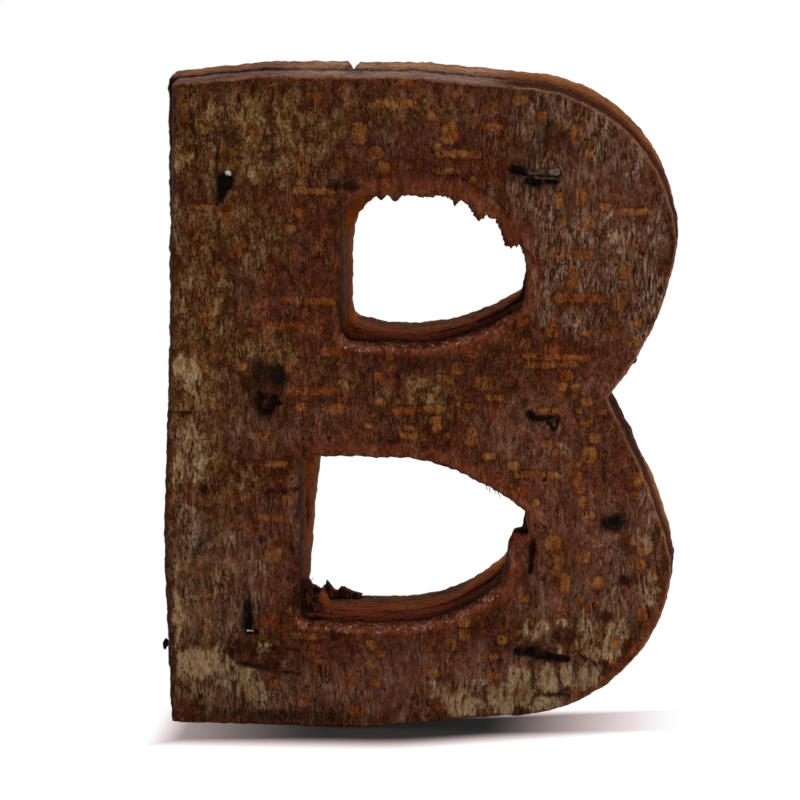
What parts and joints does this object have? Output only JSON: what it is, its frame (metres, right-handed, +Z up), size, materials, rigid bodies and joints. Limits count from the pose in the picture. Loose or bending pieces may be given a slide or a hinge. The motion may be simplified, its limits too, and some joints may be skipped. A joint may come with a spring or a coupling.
{
  "type": "bark letter",
  "caption": "Upright rustic capital letter sawn from a front and a rear ply of tree bark, stapled together, standing on its flat foot.",
  "frame": {"origin": "middle of the foot of the bounding box, on the surface that the letter stands on", "axes": "+Z up along the stem, +X to the right as the letter reads, front face towards -Y"},
  "size_m": [0.0554, 0.013, 0.0711],
  "materials": {
    "outer_bark": "satin lacquered bark, dark red brown with ochre lenticels and grey patches",
    "inner_bark": "sawn inner bark, orange brown, with outer bark on the back",
    "staple_wire": "worn and stained galvanised wire"
  },
  "bodies": {
    "root": {"front_bark": "outer_bark", "rear_bark": "inner_bark", "staple_top_left": "staple_wire", "staple_top_right": "staple_wire", "staple_middle_left": "staple_wire", "staple_middle_right": "staple_wire", "staple_bottom_left": "staple_wire", "staple_bottom_right": "staple_wire"}
  },
  "joints": []
}
